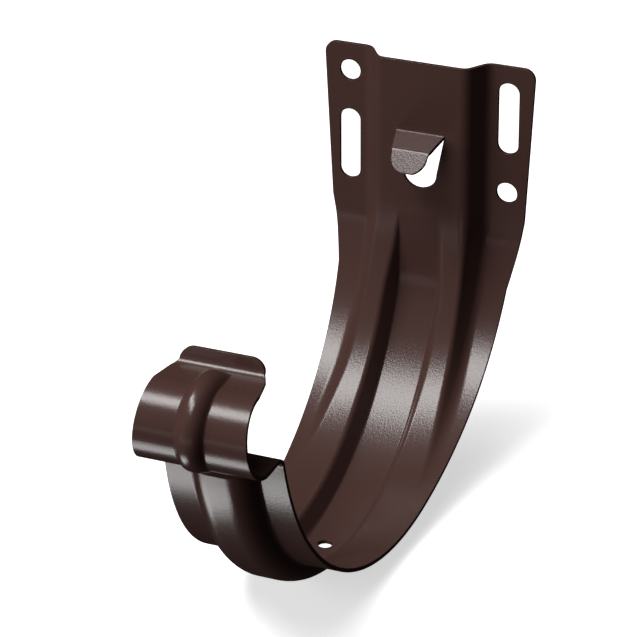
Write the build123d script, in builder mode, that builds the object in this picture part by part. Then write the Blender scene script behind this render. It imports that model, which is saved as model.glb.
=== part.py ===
"""A pressed sheet steel bracket that carries a half-round gutter on a wall.

The whole bracket is one sheet: a wall plate with a raised middle, a seat that
curves under the gutter with a channel pressed along it, a hook round the
gutter's front bead, and a tongue cut from the plate that folds over the
gutter's back edge.

The origin is on the wall, at the centre of the two round screw holes.
X runs along the wall, +Y goes into it and +Z is up.
"""

import os
from math import asin, atan, cos, degrees, radians, sin, tan

from build123d import *

# Sheet and gutter
sheet = 1.0
seat_radius = 62.5
bead_radius = 8.9

# Wall plate, with heights taken from the centre of the screw holes
seat_drop = 15.5
plate_top = 21.0
plate_top_width = 56.8
plate_foot_width = 53.2
plate_corner_radius = 3.2
step = 6.0
plateau_width = 23.2
step_run = 5.0

# Screw holes and slots, each pair set corner to corner about the origin. The
# slots' outer ends are level with the holes.
hole_diameter = 5.6
hole_inset = 5.15
hole_spacing_x = plate_foot_width - 2 * hole_inset
hole_rise = 13.7
slot_length = 19.4
slot_width = 5.6
slot_rise = hole_rise - (slot_length - slot_width) / 2

# Seat: the flanges sink into the ridges on the way down, the channel deepens.
# Every angle is how far the sheet has turned from the plate.
shoulder_angle = 5
shoulder_narrowing = 0.6
waist_width = 46.4
waist_angle = 20
front_width = 31.7
front_angle = 150
flange_leave_start = 2
flange_leave_end = 16
flange_swell = 6.8
flange_sink_start = 8
flange_sink_end = 76
flange_least_width = 1.2
flange_least_run = 0.8
ridge_growth = 4.2
flange_growth = 1.2
growth_angle = 70
channel_depth = 5.0
channel_start = 5
channel_full = 30
channel_mouth = 16.4
channel_floor = 5.4
channel_start_slant = 1.0
channel_fade_angle = 14
drain_diameter = 3.8
drain_angle = 92

# Hook round the gutter's front bead, and its lip
bead_overlap = 0.75
bead_height = 1.5
lead_rise = 12
lead_width = 29.6
peak_radius = 2.0
hook_end_width = 25.4
hook_mouth = 7.8
hook_floor = 2.8
hook_groove_depth = 2.4
hook_groove_start_angle = 35
hook_groove_fade = 240
hook_groove_end = 300
top_length = 6.6
lip_radius = 3.2
lip_angle = 188
lip_height = 2.0
lip_root_width = 23.6
lip_width = 20.6
lip_taper_angle = 50
lip_corner_radius = 3.0

# Tongue over the gutter's back edge
tongue_top = 1.6
tongue_root_width = 13.0
tongue_width = 9.4
tongue_reach = 6.6
tongue_fall = 1.9
tongue_end_reach = 3.9
tongue_end_fall = 4.9
tongue_round_height = 3.7
tongue_bend_radius = 1.2
window_foot_width = 9.0
window_drop = 15.0

# A step that fades out keeps this depth, so all sections have the same corners
least_depth = 0.02

# The seat's centre, and where the ridges' contact face stands
plateau_y = -(step + sheet)
seat_y = plateau_y - seat_radius
seat_z = -seat_drop


def ease(value, start, end):
    """Goes smoothly from 0 at start to 1 at end."""
    share = min(1.0, max(0.0, (value - start) / (end - start)))
    return share * share * (3 - 2 * share)


def between(value, stops):
    """Straight-line value between (place, value) stops."""
    for (start, low), (end, high) in zip(stops, stops[1:]):
        if value <= end:
            return low + (high - low) * max(0.0, value - start) / (end - start)
    return stops[-1][1]


def outward(turn):
    """Direction from the gutter into the sheet, with the sheet turned so far."""
    return Vector(0, cos(radians(turn)), -sin(radians(turn)))


def section_points(half_width, flange_depth, grow, mouth, floor, groove, skin):
    """Corners of a cross-section's right half, from the edge to the middle.

    skin is 0 on the gutter's side and the sheet's thickness on the wall's
    side, where each wall moves over so that the sheet keeps its thickness.
    """
    flange_edge = plateau_width / 2 + step_run + grow * flange_growth
    flange_edge = min(flange_edge, half_width - flange_least_width)
    ridge_edge = plateau_width / 2 + grow * ridge_growth
    ridge_edge = min(ridge_edge, flange_edge - flange_least_run)
    flange_depth = max(flange_depth, least_depth)
    groove = max(groove, least_depth)
    flange_shift = skin * tan(atan(flange_depth / (flange_edge - ridge_edge)) / 2)
    groove_shift = skin * tan(atan(2 * groove / (mouth - floor)) / 2)
    return [
        (half_width, flange_depth + skin),
        (flange_edge - flange_shift, flange_depth + skin),
        (ridge_edge - flange_shift, skin),
        (mouth / 2 + groove_shift, skin),
        (floor / 2 + groove_shift, groove + skin),
    ]


def draw_section(*sizes):
    """Sketches the closed cross-section of the sheet."""
    gutter_side = section_points(*sizes, skin=0)
    wall_side = section_points(*sizes, skin=sheet)
    right_half = gutter_side[::-1] + wall_side
    left_half = [(-x, y) for x, y in right_half[::-1]]
    with BuildLine() as outline:
        Polyline(*right_half, *left_half, close=True)
    make_face(outline.edges())


# The side view's path runs from the plate's foot round to the lip. The seat
# stops where a bend of peak_radius meets the lead, the short run that rises
# into the hook and touches the bead's circle.
bead_center = Vector(
    0, seat_y - seat_radius - bead_radius + bead_overlap, seat_z + bead_height
)
lead_turn = 90 + lead_rise
lead_offset = outward(lead_turn).dot(bead_center - Vector(0, seat_y, seat_z))
lead_level = lead_offset + bead_radius + peak_radius
seat_end = 180 - (degrees(asin(lead_level / (seat_radius + peak_radius))) - lead_rise)

path = []  # leg, turn, point on the gutter's side


def add_bend(leg, start, end, radius, count):
    """Bends on from the last point, away from the gutter where end < start."""
    side = 1 if end > start else -1
    center = path[-1][2] - outward(start) * radius * side
    for number in range(1, count + 1):
        turn = start + (end - start) * number / count
        path.append((leg, turn, center + outward(turn) * radius * side))


def add_straight(leg, turn, end, count):
    """Goes straight on to a point."""
    start = path[-1][2]
    for number in range(1, count + 1):
        path.append((leg, turn, start + (end - start) * number / count))


path.append(("seat", 0, Vector(0, plateau_y, seat_z)))
add_bend("seat", 0, waist_angle, seat_radius, count=8)
add_bend("seat", waist_angle, seat_end, seat_radius, count=24)
add_bend("peak", seat_end, lead_turn, peak_radius, count=5)
lead_end = bead_center + outward(lead_turn) * bead_radius
add_straight("lead", lead_turn, lead_end, count=2)
add_bend("hook", lead_turn, 270, bead_radius, count=12)
add_straight("top", 270, path[-1][2] + Vector(0, top_length, 0), count=3)
add_bend("lip", 270, lip_angle, lip_radius, count=6)
lip_direction = Vector(0, -sin(radians(lip_angle)), -cos(radians(lip_angle)))
add_straight("lip", lip_angle, path[-1][2] + lip_direction * lip_height, count=1)


def seat_sizes(turn):
    """Sizes of the cross-section under the gutter."""
    taper = [
        (0, plate_foot_width),
        (shoulder_angle, plate_foot_width - shoulder_narrowing),
        (waist_angle, waist_width),
        (front_angle, front_width),
        (seat_end, lead_width),
    ]
    # The flanges stay upright by the wall at first, then sink into the ridges
    upright = (seat_radius + step) / cos(radians(min(turn, 60))) - seat_radius
    sunk = flange_swell * (1 - ease(turn, flange_sink_start, flange_sink_end))
    leave = ease(turn, flange_leave_start, flange_leave_end)
    flange_depth = min(upright, upright * (1 - leave) + sunk * leave)
    grow = min(1.0, turn / growth_angle) ** 2
    # The channel's walls lie flatter as it opens, and it fades out at the front
    opened = ease(turn, channel_start, channel_full)
    fade = ease(turn, seat_end - channel_fade_angle, seat_end)
    middle = (channel_mouth + channel_floor) / 2
    slant = channel_start_slant + (channel_mouth - middle - channel_start_slant) * opened
    mouth = middle + slant + (hook_mouth - middle - slant) * fade
    floor = middle - slant + (hook_floor - middle + slant) * fade
    groove = channel_depth * opened * (1 - fade)
    return between(turn, taper) / 2, flange_depth, grow, mouth, floor, groove


def hook_sizes(leg, turn, point):
    """Sizes of the cross-section from the front peak round to the lip."""
    width, groove = lead_width, 0
    if leg == "hook":
        taper = ease(turn, lead_turn, 270)
        width = lead_width + (hook_end_width - lead_width) * taper
        swell = ease(turn, lead_turn, lead_turn + hook_groove_start_angle)
        fade = ease(turn, hook_groove_fade, hook_groove_end)
        groove = hook_groove_depth * swell * (1 - fade)
    elif leg == "top":
        gone = (point.Y - bead_center.Y) / top_length
        width = hook_end_width + (lip_root_width - hook_end_width) * gone
        turn = 270 + (hook_groove_end - 270) * gone
        groove = hook_groove_depth * (1 - ease(turn, hook_groove_fade, hook_groove_end))
    elif leg == "lip":
        gone = min(1.0, (270 - turn) / lip_taper_angle)
        width = lip_root_width + (lip_width - lip_root_width) * gone
    return width / 2, 0, 1, hook_mouth, hook_floor, groove


with BuildPart() as tongue:
    # Side view, from inside the plate's thickness out and down
    middle_y = plateau_y + sheet / 2
    bend_y = plateau_y - tongue_reach
    bend_z = tongue_top - tongue_fall
    with BuildSketch(Plane.YZ):
        with BuildLine():
            FilletPolyline(
                (middle_y, tongue_top + 2 * sheet),
                (middle_y, tongue_top),
                (bend_y, bend_z),
                (bend_y - 2 * tongue_end_reach, bend_z - 2 * tongue_end_fall),
                radius=tongue_bend_radius,
            )
        trace(line_width=sheet)
    extrude(amount=tongue_root_width / 2, both=True)
    # Front view: narrows to the fold, then ends round
    fold_z = bend_z - sheet / 2
    round_z = bend_z - tongue_end_fall + tongue_round_height
    with BuildSketch(Plane.XZ):
        with BuildLine():
            Polyline(
                (-tongue_width / 2, round_z),
                (-tongue_width / 2, fold_z),
                (-tongue_root_width / 2, tongue_top),
                (-tongue_root_width / 2, tongue_top + 3 * sheet),
                (tongue_root_width / 2, tongue_top + 3 * sheet),
                (tongue_root_width / 2, tongue_top),
                (tongue_width / 2, fold_z),
                (tongue_width / 2, round_z),
            )
            EllipticalCenterArc(
                (0, round_z),
                tongue_width / 2,
                tongue_round_height,
                start_angle=180,
                arc_size=180,
            )
        make_face()
    extrude(amount=-3 * bend_y, mode=Mode.INTERSECT)

with BuildPart() as plate:
    with BuildSketch(Plane((0, plateau_y, seat_z), x_dir=(1, 0, 0), z_dir=(0, 0, 1))):
        draw_section(plate_top_width / 2 + sheet, step, 0, channel_mouth, channel_floor, 0)
    extrude(amount=plate_top + seat_drop)
    with BuildSketch(Plane.XZ) as outline:
        with BuildLine():
            Polyline(
                (-plate_foot_width / 2, seat_z),
                (-plate_top_width / 2, plate_top),
                (plate_top_width / 2, plate_top),
                (plate_foot_width / 2, seat_z),
                close=True,
            )
        make_face()
        top_corners = outline.vertices().group_by(Axis.Y)[-1]
        fillet(top_corners, radius=plate_corner_radius)
    extrude(amount=3 * step, mode=Mode.INTERSECT)

with BuildPart() as bracket:
    for leg, turn, point in path:
        normal = outward(turn)
        along = Vector(1, 0, 0).cross(normal)
        with BuildSketch(Plane(point, x_dir=(1, 0, 0), z_dir=along)):
            if leg == "seat":
                draw_section(*seat_sizes(turn))
            else:
                draw_section(*hook_sizes(leg, turn, point))
    loft()
    # Round the lip's corners
    lip_end = path[-1][2]
    with BuildSketch(Plane.XZ.offset(-lip_end.Y)):
        with Locations((0, lip_end.Z)):
            Rectangle(lip_width + 2 * sheet, 2 * lip_corner_radius)
        with Locations((0, lip_end.Z - lip_corner_radius)):
            RectangleRounded(
                lip_width,
                2 * lip_corner_radius + sheet,
                lip_corner_radius,
                mode=Mode.SUBTRACT,
            )
    extrude(amount=4 * sheet, both=True, mode=Mode.SUBTRACT)
    add(plate)
    # Screw holes and slots through the flanges
    hole_places = [
        (-hole_spacing_x / 2, hole_rise),
        (hole_spacing_x / 2, -hole_rise),
    ]
    slot_places = [
        (-hole_spacing_x / 2, -slot_rise),
        (hole_spacing_x / 2, slot_rise),
    ]
    with BuildSketch(Plane.XZ):
        with Locations(*hole_places):
            Circle(hole_diameter / 2)
        with Locations(*slot_places):
            SlotOverall(slot_length, slot_width, rotation=90)
    extrude(amount=2 * sheet, both=True, mode=Mode.SUBTRACT)
    # Window that the tongue is cut from, narrowing to a round foot
    with BuildSketch(Plane.XZ.offset(-plateau_y)):
        with BuildLine():
            foot_z = tongue_top - window_drop + window_foot_width / 2
            Polyline(
                (-window_foot_width / 2, foot_z),
                (-tongue_root_width / 2, tongue_top),
                (tongue_root_width / 2, tongue_top),
                (window_foot_width / 2, foot_z),
            )
            ThreePointArc(
                (-window_foot_width / 2, foot_z),
                (0, foot_z - window_foot_width / 2),
                (window_foot_width / 2, foot_z),
            )
        make_face()
    extrude(amount=2 * sheet, both=True, mode=Mode.SUBTRACT)
    add(tongue)
    # Drain hole in the channel's floor
    drain_normal = outward(drain_angle)
    drain_point = Vector(0, seat_y, seat_z) + drain_normal * seat_radius
    with BuildSketch(Plane(drain_point, z_dir=drain_normal)):
        Circle(drain_diameter / 2)
    extrude(amount=channel_depth + 2 * sheet, mode=Mode.SUBTRACT)

bracket.part.label = "bracket"
os.makedirs("parts", exist_ok=True)
export_step(bracket.part, "parts/bracket.step")
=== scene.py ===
from math import asin, atan, cos, degrees, hypot, pi, radians, sin, sqrt, tan

import bmesh
import bpy
from mathutils import Matrix, Vector


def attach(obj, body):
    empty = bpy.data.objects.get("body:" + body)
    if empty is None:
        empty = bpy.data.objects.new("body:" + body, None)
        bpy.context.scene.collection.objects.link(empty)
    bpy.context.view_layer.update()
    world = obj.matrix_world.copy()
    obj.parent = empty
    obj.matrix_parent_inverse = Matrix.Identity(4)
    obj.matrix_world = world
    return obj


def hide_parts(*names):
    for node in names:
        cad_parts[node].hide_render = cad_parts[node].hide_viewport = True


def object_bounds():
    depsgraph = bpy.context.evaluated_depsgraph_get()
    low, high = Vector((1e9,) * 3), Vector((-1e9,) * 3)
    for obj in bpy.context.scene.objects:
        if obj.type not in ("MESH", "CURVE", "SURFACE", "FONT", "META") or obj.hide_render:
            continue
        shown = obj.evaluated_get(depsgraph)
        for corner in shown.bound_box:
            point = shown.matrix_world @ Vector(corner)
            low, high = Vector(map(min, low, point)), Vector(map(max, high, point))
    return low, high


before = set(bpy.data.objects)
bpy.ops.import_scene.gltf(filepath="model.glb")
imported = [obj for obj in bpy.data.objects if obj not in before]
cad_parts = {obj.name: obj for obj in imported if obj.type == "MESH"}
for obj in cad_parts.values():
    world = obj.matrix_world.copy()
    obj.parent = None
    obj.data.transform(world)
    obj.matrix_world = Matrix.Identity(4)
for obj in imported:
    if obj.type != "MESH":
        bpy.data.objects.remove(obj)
cad_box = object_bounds()


# The bracket is one strip of 1 mm sheet steel, pressed with a small round in every fold.
# It is built as the sheet's two faces, section by section round the side view, from the
# plate's top to the lip. Its holes are cut out afterwards.

sheet = 0.001
press_round = 0.0007
seat_radius = 0.0625
bead_radius = 0.0089

# Wall plate, with heights from the centre of the screw holes
seat_drop = 0.0155
plate_top = 0.021
plate_top_width = 0.0568
plate_foot_width = 0.0532
plate_corner_radius = 0.0032
step = 0.006
plateau_width = 0.0244
step_run = 0.004
step_round = 0.0017

# Seat, where every angle is how far the sheet has turned from the plate
shoulder_angle = 5
shoulder_narrowing = 0.0006
waist_width = 0.0464
waist_angle = 20
front_width = 0.0317
front_angle = 150
upright_end_angle = 60
flange_leave_start = 2
flange_leave_end = 16
flange_swell = 0.0068
flange_sink_start = 8
flange_sink_end = 76
flange_least_width = 0.0012
flange_least_run = 0.0008
ridge_spread = [(0, 0), (30, 0.0009), (45, 0.0017), (55, 0.0027), (70, 0.0039)]
flange_spread = [(0, 0), (20, -0.0004), (30, -0.0003), (50, 0.0006), (76, 0.0016)]
step_foot_round = 0.002
step_foot_start = 2
step_foot_full = 18
channel_depth = 0.005
channel_start = 2.5
channel_leave_run = 9
channel_knee = 6
channel_least_depth = 0.00001
channel_floor = 0.0107
channel_slant = 0.00235
channel_least_slant = 0.0004
channel_fade_angle = 1.8
belly_round = 0.0036
belly_foot_round = 0.001
belly_start_angle = 70
belly_full_angle = 135

# Hook round the gutter's front bead, its rib and its lip
bead_overlap = 0.00075
bead_height = 0.0015
lead_rise = 0
lead_width = 0.0296
peak_radius = 0.004
hook_end_width = 0.0254
rib_width = 0.0058
rib_floor = 0.0028
rib_depth = 0.0024
rib_foot_angle = 85
rib_full_angle = 178
rib_end_run = 0.0062
rib_crown_round = 0.0017
rib_foot_round = 0.0006
top_length = 0.0066
lip_radius = 0.0032
lip_angle = 188
lip_height = 0.002
lip_root_width = 0.0229
lip_width = 0.0206
lip_taper_angle = 50
lip_corner_radius = 0.0034

plateau_y = -(step + sheet)
seat_y = plateau_y - seat_radius
seat_z = -seat_drop


def ease(value, start, end):
    """Goes smoothly from 0 at start to 1 at end."""
    share = min(1.0, max(0.0, (value - start) / (end - start)))
    return share * share * (3 - 2 * share)


def between(value, stops):
    """Straight-line value between (place, value) stops."""
    for (start, low), (end, high) in zip(stops, stops[1:]):
        if value <= end:
            return low + (high - low) * max(0.0, value - start) / (end - start)
    return stops[-1][1]


def outward(turn):
    """Direction from the gutter into the sheet, with the sheet turned so far."""
    return Vector((0, cos(radians(turn)), -sin(radians(turn))))


bead_center = Vector(
    (0, seat_y - seat_radius - bead_radius + bead_overlap, seat_z + bead_height)
)
lead_turn = 90 + lead_rise
lead_offset = outward(lead_turn).dot(bead_center - Vector((0, seat_y, seat_z)))
lead_level = lead_offset + bead_radius + peak_radius
seat_end = 180 - (degrees(asin(lead_level / (seat_radius + peak_radius))) - lead_rise)

stations = [("plate", 0, Vector((0, plateau_y, plate_top)))]


def add_straight(leg, turn, end, count, slow_start=False, slow_end=False):
    """Goes straight on to a point, with close stations where it is slow."""
    start = stations[-1][2]
    for number in range(1, count + 1):
        share = number / count
        if slow_start:
            share = 1 - cos(share * pi / 2)
        if slow_end:
            share = sin(share * pi / 2)
        stations.append((leg, turn, start + (end - start) * share))


def add_bend(leg, start, end, radius, count):
    """Bends on from the last point, away from the gutter where end < start."""
    side = 1 if end > start else -1
    center = stations[-1][2] - outward(start) * radius * side
    for number in range(1, count + 1):
        turn = start + (end - start) * number / count
        stations.append((leg, turn, center + outward(turn) * radius * side))


corner_foot = Vector((0, plateau_y, plate_top - plate_corner_radius))
add_straight("plate", 0, corner_foot, count=10, slow_start=True)
add_straight("plate", 0, Vector((0, plateau_y, seat_z)), count=10)
add_bend("seat", 0, waist_angle, seat_radius, count=30)
add_bend("seat", waist_angle, seat_end, seat_radius, count=90)
add_bend("peak", seat_end, lead_turn, peak_radius, count=12)
lead_end = bead_center + outward(lead_turn) * bead_radius
add_straight("lead", lead_turn, lead_end, count=3)
add_bend("hook", lead_turn, 270, bead_radius, count=44)
add_straight("top", 270, stations[-1][2] + Vector((0, top_length, 0)), count=24)
add_bend("lip", 270, lip_angle, lip_radius, count=16)
lip_direction = Vector((0, -sin(radians(lip_angle)), -cos(radians(lip_angle))))
lip_end = stations[-1][2] + lip_direction * lip_height
add_straight("lip", lip_angle, lip_end, count=12, slow_end=True)

runs = [0]
for (_, _, start), (_, _, end) in zip(stations, stations[1:]):
    runs.append(runs[-1] + (end - start).length)
lip_root = [leg for leg, _, _ in stations].index("lip")
rib_end_place = runs[lip_root - 1]


def plate_sizes(point):
    """Sizes of the cross-section on the wall plate."""
    rise = (point.z - seat_z) / (plate_top - seat_z)
    return {
        "width": plate_foot_width + (plate_top_width - plate_foot_width) * rise,
        "ridge": plateau_width / 2,
        "flange": plateau_width / 2 + step_run,
        "drop": step,
        "floor": channel_floor,
        "slant": channel_least_slant,
        "groove": 0,
        "rounds": (press_round, press_round, step_round, step_round),
    }


def seat_sizes(turn):
    """Sizes of the cross-section under the gutter."""
    taper = [
        (0, plate_foot_width),
        (shoulder_angle, plate_foot_width - shoulder_narrowing),
        (waist_angle, waist_width),
        (front_angle, front_width),
        (seat_end, lead_width),
    ]
    # The flanges stay upright by the wall at first, then sink into the ridges
    lean = cos(radians(min(turn, upright_end_angle)))
    upright = (seat_radius + step) / lean - seat_radius
    sunk = flange_swell * (1 - ease(turn, flange_sink_start, flange_sink_end))
    leave = ease(turn, flange_leave_start, flange_leave_end)
    # The channel's floor goes straight on down until the channel is full
    plumb = seat_radius / lean - seat_radius
    plumb *= ease(turn, channel_start, channel_start + channel_leave_run)
    shallow = (channel_depth / max(plumb, channel_least_depth)) ** channel_knee
    full = channel_depth * (1 + shallow) ** (-1 / channel_knee)
    slant = channel_least_slant + (channel_slant - channel_least_slant) * full / channel_depth
    # It ends as round as a spoon, close under the peak
    left = min(1.0, (seat_end - turn) / channel_fade_angle)
    belly = ease(turn, belly_start_angle, belly_full_angle)
    foot = ease(turn, step_foot_start, step_foot_full)
    return {
        "width": between(turn, taper),
        "ridge": plateau_width / 2 + between(turn, ridge_spread),
        "flange": plateau_width / 2 + step_run + between(turn, flange_spread),
        "drop": min(upright, upright * (1 - leave) + sunk * leave),
        "floor": channel_floor,
        "slant": slant,
        "groove": full * sqrt(1 - (1 - left) ** 2),
        "rounds": (
            press_round + (belly_round - press_round) * belly,
            press_round + (belly_foot_round - press_round) * belly,
            step_round + (press_round - step_round) * foot,
            step_round + (step_foot_round - step_round) * foot,
        ),
    }


def hook_sizes(leg, turn, point, left):
    """Sizes of the cross-section from the front peak round to the lip."""
    width, groove = lead_width, 0
    floor, slant = rib_floor, (rib_width - rib_floor) / 2
    if leg == "peak":
        turned = (seat_end - turn) / (seat_end - lead_turn)
        floor = channel_floor + (rib_floor - channel_floor) * turned
        slant = channel_slant + (slant - channel_slant) * turned
    elif leg == "hook":
        taper = ease(turn, lead_turn, 270)
        width = lead_width + (hook_end_width - lead_width) * taper
        groove = rib_depth * ease(turn, rib_foot_angle, rib_full_angle)
    elif leg == "top":
        gone = (point.y - bead_center.y) / top_length
        width = hook_end_width + (lip_root_width - hook_end_width) * gone
        groove = rib_depth
    elif leg == "lip":
        gone = min(1.0, (270 - turn) / lip_taper_angle)
        width = lip_root_width + (lip_width - lip_root_width) * gone
    if groove:
        # The rib ends as round as a spoon, just before the lip
        share = min(1.0, max(0.0, left / rib_end_run))
        groove *= sqrt(1 - (1 - share) ** 2)
    return {
        "width": width,
        "ridge": plateau_width / 2 + ridge_spread[-1][1],
        "flange": plateau_width / 2 + step_run + flange_spread[-1][1],
        "drop": 0,
        "floor": floor,
        "slant": slant,
        "groove": groove,
        "rounds": (rib_crown_round, rib_foot_round, press_round, press_round),
    }


def corner_inset(distance, radius):
    """How far a round corner draws the edge in, at a distance from the end."""
    if distance >= radius:
        return 0
    return radius - sqrt(radius * radius - (radius - distance) ** 2)


# Two rounds that stand close share the line between them, but for a short rest
shared_part = 0.98


def round_corners(corners, rounds, count=8):
    """Points with their directions along a line, with a round at each inner corner."""
    line = [(corners[0], corners[1] - corners[0])]
    for inner, reach in enumerate(rounds):
        corner = corners[inner + 1]
        back = corners[inner] - corner
        ahead = corners[inner + 2] - corner
        before = rounds[inner - 1] if inner > 0 else 0
        after = rounds[inner + 1] if inner + 1 < len(rounds) else 0
        start = back * min(reach / back.length, reach / (reach + before) * shared_part)
        end = ahead * min(reach / ahead.length, reach / (reach + after) * shared_part)
        for number in range(count + 1):
            share = number / count
            place = corner + start * (1 - share) ** 2 + end * share**2
            line.append((place, end * share - start * (1 - share)))
    line.append((corners[-1], corners[-1] - corners[-2]))
    return line


def section_line(width, ridge, flange, drop, floor, slant, groove, rounds):
    """Middle of the sheet's thickness, from the centre out to the edge.

    It has a round at the groove's floor, its mouth, the ridge's edge and the
    flange's root.
    """
    flange = min(flange, width / 2 - flange_least_width)
    ridge = min(ridge, flange - flange_least_run)
    flange_shift = sheet / 2 * tan(atan(drop / (flange - ridge)) / 2)
    groove_shift = sheet / 2 * tan(atan(groove / slant) / 2)
    corners = [
        Vector((0, groove)),
        Vector((floor / 2 + groove_shift, groove)),
        Vector((floor / 2 + slant + groove_shift, 0)),
        Vector((ridge - flange_shift, 0)),
        Vector((flange - flange_shift, drop)),
        Vector((width / 2, drop)),
    ]
    return round_corners(corners, rounds)


def skin_points(station, run):
    """The sheet's two faces at one station, from the left edge to the right."""
    leg, turn, point = station
    if leg == "plate":
        sizes = plate_sizes(point)
    elif leg == "seat":
        sizes = seat_sizes(turn)
    else:
        sizes = hook_sizes(leg, turn, point, rib_end_place - run)
    sizes["width"] -= 2 * corner_inset(run, plate_corner_radius)
    sizes["width"] -= 2 * corner_inset(runs[-1] - run, lip_corner_radius)
    gutter_side, wall_side = [], []
    for place, direction in section_line(**sizes):
        across = Vector((-direction.y, direction.x)).normalized() * sheet / 2
        for skin, side in ((gutter_side, -1), (wall_side, 1)):
            flat = place + across * side
            depth = outward(turn) * (flat.y + sheet / 2)
            skin.append(point + depth + Vector((flat.x, 0, 0)))
    for skin in (gutter_side, wall_side):
        mirrored = [Vector((-place.x, place.y, place.z)) for place in skin[:0:-1]]
        skin[:0] = mirrored
    return gutter_side, wall_side


def make_piece(name, points, faces):
    """Adds an object made of these points and faces."""
    mesh = bpy.data.meshes.new(name)
    mesh.from_pydata(points, [], faces)
    made = bpy.data.objects.new(name, mesh)
    bpy.context.collection.objects.link(made)
    return made


def turn_faces_out(piece):
    """Makes every face of a closed piece look outward."""
    shell = bmesh.new()
    shell.from_mesh(piece.data)
    bmesh.ops.recalc_face_normals(shell, faces=shell.faces)
    shell.to_mesh(piece.data)
    shell.free()


def make_sheet(name, rows):
    """Closes rows of (one face, other face) points into a solid sheet."""
    points = [place for row in rows for skin in row for place in skin]
    width = len(rows[0][0])
    faces = []
    for row in range(len(rows) - 1):
        first = row * 2 * width
        after = first + 2 * width
        for column in range(width - 1):
            a, b = first + column, after + column
            faces.append((a, b, b + 1, a + 1))
            faces.append((a + width, a + width + 1, b + width + 1, b + width))
        for a, b in ((first, after), (first + width - 1, after + width - 1)):
            faces.append((a, a + width, b + width, b))
    for end in (0, (len(rows) - 1) * 2 * width):
        for a in range(end, end + width - 1):
            faces.append((a, a + 1, a + 1 + width, a + width))
    made = make_piece(name, points, faces)
    turn_faces_out(made)
    return made


sections = [skin_points(station, run) for station, run in zip(stations, runs)]
bracket = make_sheet("bracket_sheet", sections)


# The holes are punched: two round ones and two slots for the screws, the window
# that the tongue is cut from, and a drain hole at the bottom of the channel.

hole_radius = 0.0028
hole_inset = 0.00515
hole_x = plate_foot_width / 2 - hole_inset
hole_rise = 0.0137
slot_half_run = 0.0069
slot_rise = hole_rise - slot_half_run
punch_depth = 0.012
drain_radius = 0.0019
drain_angle = 92
drain_steps = 40

tongue_top = 0.0016
tongue_root_width = 0.013
tongue_width = 0.0094
tongue_reach = 0.0066
tongue_fall = 0.0019
tongue_end_reach = 0.0039
tongue_end_fall = 0.0049
tongue_round_height = 0.0037
tongue_bend_radius = 0.0012
tongue_end_angle = 51.5
window_foot_radius = 0.0045
window_foot_steps = 24
window_drop = 0.015

tongue_slope = atan(tongue_fall / (tongue_reach + sheet / 2))
root_bend = tongue_bend_radius * tan((pi / 2 - tongue_slope) / 2)


def round_slot(x, z, radius, half_run, count=48):
    """Outline of an upright slot, or of a round hole where it has no run."""
    outline = []
    for number in range(count):
        angle = 2 * pi * (number + 0.5) / count
        shift = half_run if sin(angle) > 0 else -half_run
        outline.append(
            Vector((x + radius * cos(angle), 0, z + radius * sin(angle) + shift))
        )
    return outline


window_foot_z = tongue_top - window_drop + window_foot_radius
window = [
    Vector((tongue_root_width / 2, 0, tongue_top + root_bend)),
    Vector((-tongue_root_width / 2, 0, tongue_top + root_bend)),
    Vector((-tongue_root_width / 2, 0, tongue_top)),
]
for number in range(window_foot_steps + 1):
    angle = pi + pi * number / window_foot_steps
    aside = window_foot_radius * cos(angle)
    window.append(Vector((aside, 0, window_foot_z + window_foot_radius * sin(angle))))
window.append(Vector((tongue_root_width / 2, 0, tongue_top)))

drain_across = Vector((0, sin(radians(drain_angle)), cos(radians(drain_angle))))
drain_place = Vector((0, seat_y, seat_z)) + outward(drain_angle) * seat_radius
drain = []
for number in range(drain_steps):
    angle = 2 * pi * number / drain_steps
    direction = Vector((cos(angle), 0, 0)) + drain_across * sin(angle)
    drain.append(drain_place + direction * drain_radius)

through_wall = Vector((0, punch_depth, 0))
punches = [
    (round_slot(-hole_x, hole_rise, hole_radius, 0), through_wall),
    (round_slot(hole_x, -hole_rise, hole_radius, 0), through_wall),
    (round_slot(-hole_x, -slot_rise, hole_radius, slot_half_run), through_wall),
    (round_slot(hole_x, slot_rise, hole_radius, slot_half_run), through_wall),
    (window, through_wall),
    (drain, outward(drain_angle) * channel_depth * 2),
]
points, faces = [], []
for outline, depth in punches:
    first, count = len(points), len(outline)
    points += [place - depth for place in outline]
    points += [place + depth for place in outline]
    faces.append(tuple(range(first, first + count)))
    faces.append(tuple(range(first + 2 * count - 1, first + count - 1, -1)))
    for number in range(count):
        a, b = first + number, first + (number + 1) % count
        faces.append((a, a + count, b + count, b))
punch = make_piece("punch", points, faces)
turn_faces_out(punch)

cut = bracket.modifiers.new("holes", "BOOLEAN")
cut.operation = "DIFFERENCE"
cut.solver = "EXACT"
cut.object = punch
bpy.context.view_layer.objects.active = bracket
bpy.ops.object.modifier_apply(modifier=cut.name)
bpy.data.objects.remove(punch)


# The tongue is the part of the plate that the window leaves. It is still the
# same sheet: it bends out of the plate at its root, folds down over the
# gutter's back edge and ends round.

tongue_end_steps = 16
tongue_half_columns = 6
tongue_tip_share = 0.999

middle_y = plateau_y + sheet / 2
bend_y = plateau_y - tongue_reach
bend_z = tongue_top - tongue_fall
fold_z = bend_z - sheet / 2
end_slope = Vector((-tongue_end_reach, -tongue_end_fall)).normalized()
end_length = hypot(tongue_end_reach, tongue_end_fall) + sheet / 2 * end_slope.x
side_corners = [
    Vector((middle_y, tongue_top + root_bend)),
    Vector((middle_y, tongue_top)),
    Vector((bend_y, bend_z)),
    Vector((bend_y, bend_z)) + end_slope * end_length,
]


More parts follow.
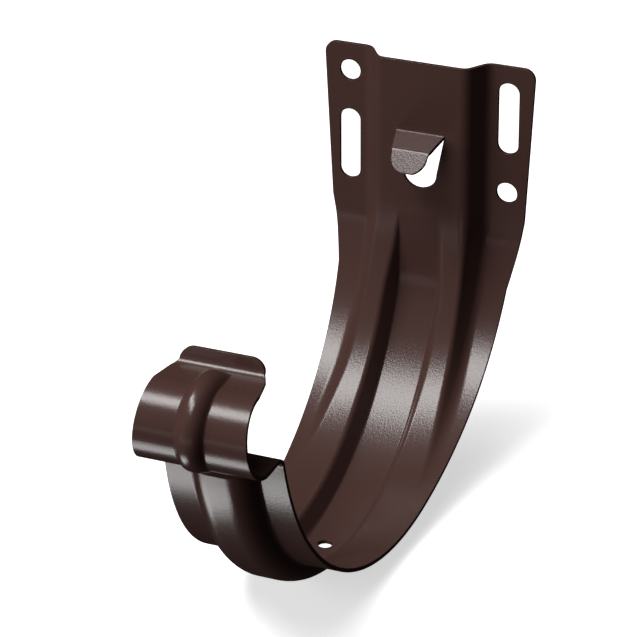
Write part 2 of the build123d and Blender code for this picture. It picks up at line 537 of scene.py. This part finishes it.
def tongue_half_width(z):
    """Half the tongue's width at a height: it narrows, then ends round."""
    round_z = bend_z - tongue_end_fall + tongue_round_height
    if z > round_z:
        stops = [(fold_z, tongue_width), (tongue_top, tongue_root_width)]
        return between(z, stops) / 2
    share = min(tongue_tip_share, (round_z - z) / tongue_round_height)
    return tongue_width / 2 * sqrt(1 - share * share)


fold_reach = tongue_bend_radius * tan((radians(tongue_end_angle) - tongue_slope) / 2)
root_line = round_corners(side_corners[:3], [root_bend], count=10)[1:-1]
fold_line = round_corners(side_corners[1:], [fold_reach], count=8)[1:-1]
tongue_line = root_line + fold_line
last_place = fold_line[-1][0]
for number in range(1, tongue_end_steps + 1):
    share = sin(pi / 2 * number / tongue_end_steps)
    tongue_line.append((last_place.lerp(side_corners[3], share), end_slope))

rows = []
for place, direction in tongue_line:
    across = Vector((-direction.y, direction.x)).normalized() * sheet / 2
    half_width = tongue_half_width(place.y)
    columns = range(-tongue_half_columns, tongue_half_columns + 1)
    asides = [half_width * column / tongue_half_columns for column in columns]
    row = []
    for flat in (place - across, place + across):
        row.append([Vector((aside, flat.x, flat.y)) for aside in asides])
    rows.append(row)
tongue = make_sheet("tongue_sheet", rows)

shell = bmesh.new()
shell.from_mesh(bracket.data)
shell.from_mesh(tongue.data)
shell.to_mesh(bracket.data)
shell.free()
bpy.data.objects.remove(tongue)

sharp_angle = 40
bracket.data.shade_smooth()
bracket.data.set_sharp_from_angle(angle=radians(sharp_angle))
weigh = bracket.modifiers.new("flat_stays_flat", "WEIGHTED_NORMAL")
weigh.keep_sharp = True
bpy.ops.object.modifier_apply(modifier=weigh.name)
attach(bracket, "root")
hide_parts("bracket")


# The finish is a dark brown powder coat, satin to glossy. It flows round the
# sheet's cut edges and sets with a very fine orange peel.

coat_color = (0.057, 0.0282, 0.024, 1.0)
coat_roughness = 0.22
peel_size = 0.00045
peel_height = 0.000028
edge_round = 0.00018


def make_peel_group():
    """Fine waves that a sprayed coat keeps when it has set."""
    tree = bpy.data.node_groups.new("orange_peel", "ShaderNodeTree")
    size = tree.interface.new_socket("Size", in_out="INPUT", socket_type="NodeSocketFloat")
    size.default_value = 0.001
    tree.interface.new_socket("Height", in_out="OUTPUT", socket_type="NodeSocketFloat")
    nodes, links = tree.nodes, tree.links
    given = nodes.new("NodeGroupInput")
    result = nodes.new("NodeGroupOutput")
    place = nodes.new("ShaderNodeNewGeometry")
    per_metre = nodes.new("ShaderNodeMath")
    per_metre.operation = "DIVIDE"
    per_metre.inputs[0].default_value = 1.0
    noise = nodes.new("ShaderNodeTexNoise")
    noise.inputs["Detail"].default_value = 2.0
    links.new(given.outputs["Size"], per_metre.inputs[1])
    links.new(place.outputs["Position"], noise.inputs["Vector"])
    links.new(per_metre.outputs[0], noise.inputs["Scale"])
    links.new(noise.outputs["Fac"], result.inputs["Height"])
    return tree


def make_powder_coat(peel_group):
    """The coat, with its normal bent by the flow at the edges and by the peel."""
    material = bpy.data.materials.new("powder_coat_brown")
    material.use_nodes = True
    nodes, links = material.node_tree.nodes, material.node_tree.links
    shader = nodes["Principled BSDF"]
    shader.inputs["Base Color"].default_value = coat_color
    shader.inputs["Roughness"].default_value = coat_roughness
    edges = nodes.new("ShaderNodeBevel")
    edges.samples = 6
    edges.inputs["Radius"].default_value = edge_round
    peel = nodes.new("ShaderNodeGroup")
    peel.node_tree = peel_group
    peel.inputs["Size"].default_value = peel_size
    bump = nodes.new("ShaderNodeBump")
    bump.inputs["Distance"].default_value = peel_height
    links.new(edges.outputs["Normal"], bump.inputs["Normal"])
    links.new(peel.outputs["Height"], bump.inputs["Height"])
    links.new(bump.outputs["Normal"], shader.inputs["Normal"])
    return material


bracket.data.materials.append(make_powder_coat(make_peel_group()))


# The camera stands where the photograph was taken from: to the right of the
# bracket and above it, far enough away that the plate's sides stay parallel.

camera_azimuth = radians(22.42)
camera_elevation = radians(27.07)
camera_roll = radians(-0.33)
camera_place = Vector((0.2591, -0.7032, 0.3288))
sensor_width = 0.036
lens_length = 0.1806

right = Vector((cos(camera_azimuth), sin(camera_azimuth), 0))
forward = Vector(
    (
        -sin(camera_azimuth) * cos(camera_elevation),
        cos(camera_azimuth) * cos(camera_elevation),
        -sin(camera_elevation),
    )
)
above = right.cross(forward)
rolled_right = right * cos(camera_roll) + above * sin(camera_roll)
rolled_above = above * cos(camera_roll) - right * sin(camera_roll)

camera_data = bpy.data.cameras.new("camera")
camera_data.sensor_width = sensor_width * 1000
camera_data.lens = lens_length * 1000
camera_data.clip_start = 0.05
camera_data.clip_end = 20.0
camera = bpy.data.objects.new("camera", camera_data)
turned = Matrix((rolled_right, rolled_above, -forward)).transposed()
camera.matrix_world = Matrix.Translation(camera_place) @ turned.to_4x4()
bpy.context.collection.objects.link(camera)
bpy.context.scene.camera = camera


# The lamps are two soft boxes on the left, one high and one low, whose reflections
# are the bands round the seat and the hook. Two more lamps only fill in, and no
# reflection shows them.

bracket_middle = Vector((0, -0.07, -0.03))
lamp_distance = 1.6


def add_lamp(name, azimuth, elevation, width, height, power, reflected=True):
    """Hangs a lamp in a direction from the bracket, 0 to the front, + to the right."""
    data = bpy.data.lights.new(name, "AREA")
    data.shape = "RECTANGLE"
    data.size = width
    data.size_y = height
    data.energy = power
    lamp = bpy.data.objects.new(name, data)
    direction = Vector(
        (
            sin(radians(azimuth)) * cos(radians(elevation)),
            -cos(radians(azimuth)) * cos(radians(elevation)),
            sin(radians(elevation)),
        )
    )
    lamp.location = bracket_middle + direction * lamp_distance
    lamp.rotation_euler = direction.to_track_quat("Z", "Y").to_euler()
    lamp.visible_camera = False
    lamp.visible_glossy = reflected
    bpy.context.collection.objects.link(lamp)


add_lamp("soft_box_high", azimuth=-48, elevation=60, width=1.2, height=0.42, power=19)
add_lamp("soft_box_low", azimuth=-50, elevation=-55, width=0.9, height=0.5, power=7.2)
add_lamp("fill_low", azimuth=-42, elevation=12, width=1.2, height=1.2, power=14, reflected=False)
add_lamp("fill_high", azimuth=-60, elevation=75, width=1.2, height=1.2, power=14, reflected=False)


# The tent of black cloth round the bracket is there only for reflections, and keeps
# the white room out of them. A low slit in its front draws the fine lines that cross
# the foot of the plate.

tent_radius = 2.2
tent_color = (0.01, 0.01, 0.01, 1)
slit_elevations = (-12, -8)
slit_azimuths = (-60, 30)
rings = [-90, -60, -30, *slit_elevations, 0, 30, 60, 90]
gores = range(-180, 180, 10)

points, faces = [], []
for elevation in rings:
    for azimuth in gores:
        flat = tent_radius * cos(radians(elevation))
        place = Vector((flat * sin(radians(azimuth)), -flat * cos(radians(azimuth)), 0))
        place.z = tent_radius * sin(radians(elevation))
        points.append(bracket_middle + place)
for ring, elevation in enumerate(rings[:-1]):
    for gore, azimuth in enumerate(gores):
        in_slit = slit_azimuths[0] <= azimuth < slit_azimuths[1]
        if elevation == slit_elevations[0] and in_slit:
            continue
        a = ring * len(gores) + gore
        b = ring * len(gores) + (gore + 1) % len(gores)
        faces.append((a, b, b + len(gores), a + len(gores)))
tent = make_piece("tent", points, faces)
tent.visible_camera = False
tent.visible_diffuse = False
tent.visible_transmission = False
tent.visible_shadow = False
cloth = bpy.data.materials.new("tent_black")
cloth.use_nodes = True
black = cloth.node_tree.nodes["Principled BSDF"]
black.inputs["Base Color"].default_value = tent_color
black.inputs["Specular IOR Level"].default_value = 0
tent.data.materials.append(cloth)


# The floor is a plain white board under the bracket, as wide as the lamps reach. It
# glows a little, so that it meets the white room and the bracket's shadow stays pale.

floor_size = 2.4
floor_color = (0.9, 0.9, 0.9, 1)
floor_glow = 0.6

bpy.ops.mesh.primitive_plane_add(size=floor_size, location=(0, 0, cad_box[0][2]))
floor = bpy.context.object
floor.name = "floor"
floor.visible_diffuse = False
floor.visible_glossy = False
floor.visible_shadow = False
paint = bpy.data.materials.new("floor_white")
paint.use_nodes = True
matt = paint.node_tree.nodes["Principled BSDF"]
matt.inputs["Base Color"].default_value = floor_color
matt.inputs["Roughness"].default_value = 1
matt.inputs["Specular IOR Level"].default_value = 0
matt.inputs["Emission Color"].default_value = (1, 1, 1, 1)
matt.inputs["Emission Strength"].default_value = floor_glow
floor.data.materials.append(paint)


# The room round the floor and the tent is white to the camera, and to metal and
# glass. As a light on the bracket it is weak, and leaves that to the lamps.

room_light = 0.05

room = bpy.data.worlds.new("studio")
room.use_nodes = True
bpy.context.scene.world = room
nodes, links = room.node_tree.nodes, room.node_tree.links
weak = nodes["Background"]
weak.inputs["Color"].default_value = (1, 1, 1, 1)
weak.inputs["Strength"].default_value = room_light
white = nodes.new("ShaderNodeBackground")
white.inputs["Color"].default_value = (1, 1, 1, 1)
white.inputs["Strength"].default_value = 1
paths = nodes.new("ShaderNodeLightPath")
either = nodes.new("ShaderNodeMath")
either.operation = "MAXIMUM"
any_of = nodes.new("ShaderNodeMath")
any_of.operation = "MAXIMUM"
mix = nodes.new("ShaderNodeMixShader")
links.new(paths.outputs["Is Camera Ray"], either.inputs[0])
links.new(paths.outputs["Is Glossy Ray"], either.inputs[1])
links.new(either.outputs[0], any_of.inputs[0])
links.new(paths.outputs["Is Transmission Ray"], any_of.inputs[1])
links.new(any_of.outputs[0], mix.inputs["Fac"])
links.new(weak.outputs[0], mix.inputs[1])
links.new(white.outputs[0], mix.inputs[2])
links.new(mix.outputs[0], nodes["World Output"].inputs["Surface"])

bpy.context.scene.view_settings.view_transform = "Standard"
